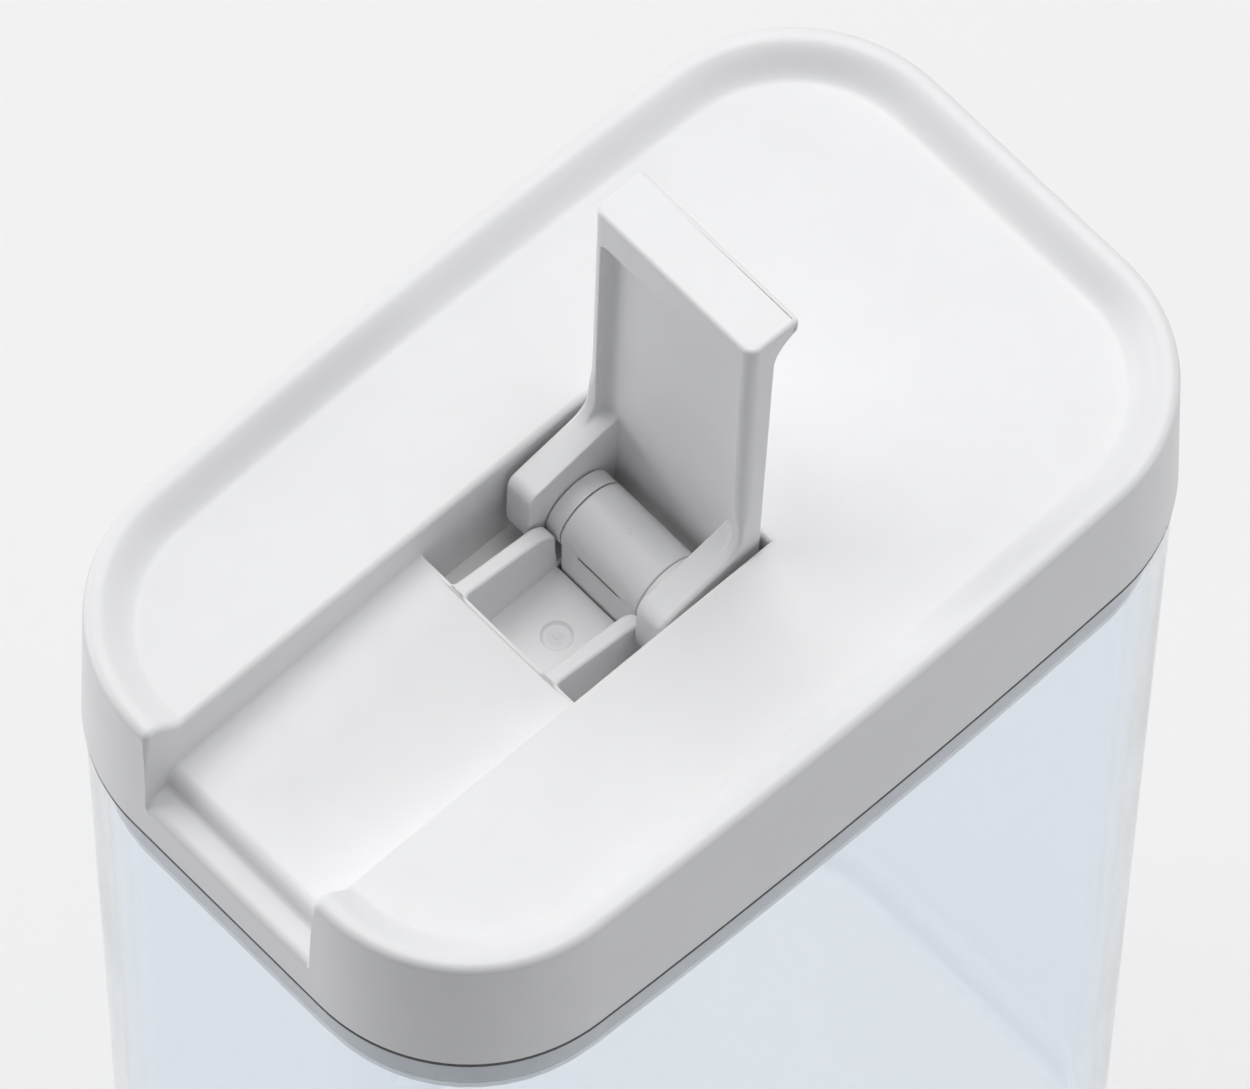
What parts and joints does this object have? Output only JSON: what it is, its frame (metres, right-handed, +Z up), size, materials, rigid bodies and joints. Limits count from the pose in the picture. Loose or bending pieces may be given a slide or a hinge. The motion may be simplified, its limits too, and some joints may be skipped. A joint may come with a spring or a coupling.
{
  "type": "food storage container",
  "caption": "Tall clear container for cereal with a white dished lid; a standing flip lever turns down into its channel and squeezes the seal against the walls.",
  "frame": {"origin": "centre of the container's flat underside", "axes": "+Z up, +X across the short way, -Y towards the lid's front, where the lever's channel runs out through the rim"},
  "size_m": [0.104, 0.165, 0.3167],
  "materials": {
    "clear_plastic": "clear gloss",
    "white_plastic": "satin",
    "frame_plastic": "satin",
    "seal_rubber": "matte",
    "gasket_rubber": "matte",
    "screw_steel": "plain",
    "pin_steel": "ground"
  },
  "bodies": {
    "container": {"container": "clear_plastic"},
    "lid": {"lid_cover": "white_plastic", "rim_seal": "seal_rubber", "lid_frame": "frame_plastic", "frame_screws": "screw_steel", "gasket": "gasket_rubber"},
    "plunger": {"plunger_plate": "frame_plastic", "pull_block": "white_plastic", "block_screws": "screw_steel"},
    "lever": {"flip_lever": "white_plastic", "pivot_pin": "pin_steel"}
  },
  "joints": [
    {"name": "lid_lift", "type": "slide", "parent": "container", "child": "lid", "axis": [0, 0, 1], "range_m": [0, 0.06]},
    {"name": "plunger_lift", "type": "slide", "parent": "lid", "child": "plunger", "axis": [0, 0, 1], "range_m": [0, 0.003], "deforming": ["gasket"]},
    {"name": "lever_turn", "type": "hinge", "parent": "plunger", "child": "lever", "pos_m": [0, -0.0008, 0.2423], "axis": [1, 0, 0], "range_deg": [0, 92]}
  ],
  "couplings": [
    {"joint": "plunger_lift", "follows": "lever_turn", "m_per_rad": 0.001868}
  ]
}
